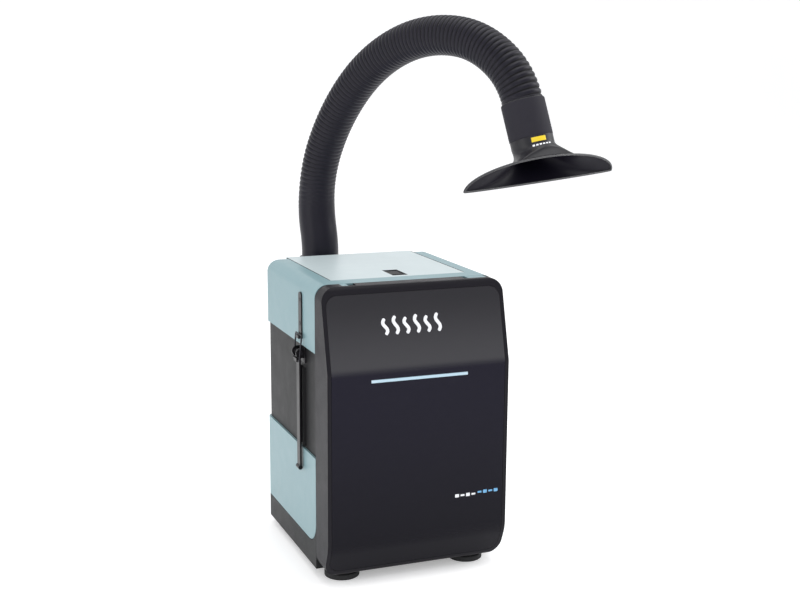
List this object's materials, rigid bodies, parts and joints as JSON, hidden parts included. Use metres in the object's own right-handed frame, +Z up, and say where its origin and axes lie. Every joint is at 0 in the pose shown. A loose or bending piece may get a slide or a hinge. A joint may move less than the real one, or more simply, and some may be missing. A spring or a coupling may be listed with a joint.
{
  "type": "solder fume extractor",
  "caption": "Bench solder fume extractor: stacked filter housing with opening lid, side draw latches and front light bar, and a posable suction hose ending in a wide fishtail nozzle.",
  "frame": {"origin": "on the floor under the middle of the housing's width, 150 mm in front of the rear face", "axes": "+Z up, +X to the right as the user faces the front, +Y to the back"},
  "size_m": [0.492, 0.5263, 0.8753],
  "materials": {
    "teal_plastic": "fine-textured moulded plastic, light teal",
    "black_plastic": "fine-textured moulded plastic, black",
    "gloss_black": "smooth high-gloss black",
    "light_lens": "frosted light bar",
    "circuit_board": "solder-masked circuit board",
    "rubber": "moulded rubber",
    "hose_black": "ribbed hose, satin black",
    "nozzle_black": "satin moulded black",
    "steel": "zinc-plated",
    "black_steel": "blackened steel wire and pins",
    "impeller_plastic": "glass-filled nylon",
    "motor_alloy": "cast and turned",
    "filter_card": "light grey filter case",
    "carbon": "granular bed",
    "filter_paper": "pleated filter paper",
    "filter_fleece": "needled fleece"
  },
  "bodies": {
    "housing": {"base_tray": "black_plastic", "blower_cover": "black_plastic", "blower_housing": "black_plastic", "blower_motor": "motor_alloy", "carbon_bed": "carbon", "case_screws": "steel", "control_board": "circuit_board", "exhaust_grille": "black_plastic", "fascia_frame": "black_plastic", "filter_case": "filter_card", "filter_gasket": "rubber", "filter_housing": "black_plastic", "foot_screws": "steel", "front_panel": "gloss_black", "hepa_pleats": "filter_paper", "hood_gasket": "rubber", "hose_elbow": "black_plastic", "hose_port": "black_plastic", "latch_brackets": "black_plastic", "latch_pins": "black_steel", "latch_straps": "black_plastic", "led_board": "circuit_board", "lid_hinge_leaves": "steel", "lid_hinge_pins": "steel", "light_guide": "light_lens", "lower_housing": "black_plastic", "lower_wrap": "teal_plastic", "mains_inlet": "black_plastic", "motor_grommets": "rubber", "prefilter_mat": "filter_fleece", "rubber_feet": "rubber", "switch_bezel": "black_plastic", "upper_hood": "teal_plastic"},
    "lid": {"lid": "teal_plastic", "lid_pull_well": "black_plastic", "lid_flap_pin": "steel"},
    "lid_flap": {"lid_pull_flap": "black_plastic"},
    "left_lever": {"left_latch_lever": "black_plastic"},
    "left_bail": {"left_latch_bail": "black_steel"},
    "right_lever": {"right_latch_lever": "black_plastic"},
    "right_bail": {"right_latch_bail": "black_steel"},
    "rocker": {"power_rocker": "black_plastic"},
    "fan_rotor": {"impeller": "impeller_plastic", "motor_shaft": "steel"},
    "arm_1": {"swivel_collar": "black_plastic", "lower_cuff": "rubber", "hose_span_1": "hose_black", "hose_bend_1": "hose_black"},
    "arm_2": {"hose_span_2": "hose_black", "hose_bend_2": "hose_black"},
    "arm_3": {"hose_span_3": "hose_black", "hose_bend_3": "hose_black"},
    "arm_4": {"hose_span_4": "hose_black", "hose_bend_4": "hose_black"},
    "arm_5": {"hose_span_5": "hose_black", "hose_bend_5": "hose_black"},
    "arm_6": {"hose_span_6": "hose_black", "nozzle_spigot": "black_plastic"},
    "nozzle": {"nozzle": "nozzle_black"}
  },
  "joints": [
    {"name": "lid_hinge", "type": "hinge", "parent": "housing", "child": "lid", "pos_m": [0, 0.1545, 0.464], "axis": [-1, 0, 0], "range_deg": [0, 60]},
    {"name": "lid_flap_hinge", "type": "hinge", "parent": "lid", "child": "lid_flap", "pos_m": [0.007, -0.032, 0.4672], "axis": [1, 0, 0], "range_deg": [0, 12], "stiffness_Nm_per_rad": 0.02, "springref_deg": -20.05},
    {"name": "left_lever_hinge", "type": "hinge", "parent": "housing", "child": "left_lever", "pos_m": [-0.1545, -0.0525, 0.352], "axis": [0, 1, 0], "range_deg": [0, 140]},
    {"name": "left_bail_hinge", "type": "hinge", "parent": "left_lever", "child": "left_bail", "pos_m": [-0.158, -0.0525, 0.34], "axis": [0, 1, 0], "range_deg": [-140, 0]},
    {"name": "right_lever_hinge", "type": "hinge", "parent": "housing", "child": "right_lever", "pos_m": [0.1545, -0.0525, 0.352], "axis": [0, -1, 0], "range_deg": [0, 140]},
    {"name": "right_bail_hinge", "type": "hinge", "parent": "right_lever", "child": "right_bail", "pos_m": [0.158, -0.0525, 0.34], "axis": [0, -1, 0], "range_deg": [-140, 0]},
    {"name": "rocker_tilt", "type": "hinge", "parent": "housing", "child": "rocker", "pos_m": [0.104, 0.144, 0.134], "axis": [-1, 0, 0], "range_deg": [0, 16]},
    {"name": "fan_spin", "type": "hinge", "parent": "housing", "child": "fan_rotor", "pos_m": [0, 0.005, 0.13], "axis": [0, 0, 1], "continuous": true},
    {"name": "arm_swivel", "type": "hinge", "parent": "housing", "child": "arm_1", "pos_m": [-0.036, 0.2, 0.452], "axis": [0, 0, 1], "range_deg": [-120, 120]},
    {"name": "arm_bend_1", "type": "hinge", "parent": "arm_1", "child": "arm_2", "pos_m": [-0.02976, 0.18743, 0.6562], "axis": [0.8957, 0.4446, 0], "range_deg": [-12, 12], "deforming": ["hose_bend_1"]},
    {"name": "arm_bend_2", "type": "hinge", "parent": "arm_2", "child": "arm_3", "pos_m": [0.00481, 0.11778, 0.76562], "axis": [0.8957, 0.4446, 0], "range_deg": [-12, 12], "deforming": ["hose_bend_2"]},
    {"name": "arm_bend_3", "type": "hinge", "parent": "arm_3", "child": "arm_4", "pos_m": [0.05185, 0.02303, 0.83032], "axis": [0.8957, 0.4446, 0], "range_deg": [-12, 12], "deforming": ["hose_bend_3"]},
    {"name": "arm_bend_4", "type": "hinge", "parent": "arm_4", "child": "arm_5", "pos_m": [0.10228, -0.07856, 0.84164], "axis": [0.8957, 0.4446, 0], "range_deg": [-12, 12], "deforming": ["hose_bend_4"]},
    {"name": "arm_bend_5", "type": "hinge", "parent": "arm_5", "child": "arm_6", "pos_m": [0.14192, -0.15842, 0.80185], "axis": [0.8957, 0.4446, 0], "range_deg": [-12, 12], "deforming": ["hose_bend_5"]},
    {"name": "nozzle_turn", "type": "hinge", "parent": "arm_6", "child": "nozzle", "pos_m": [0.16139, -0.19764, 0.72712], "axis": [0.1403, -0.2827, -0.9489], "continuous": true}
  ],
  "couplings": [
    {"joint": "left_bail_hinge", "follows": "left_lever_hinge", "ratio": -1},
    {"joint": "right_bail_hinge", "follows": "right_lever_hinge", "ratio": -1}
  ]
}
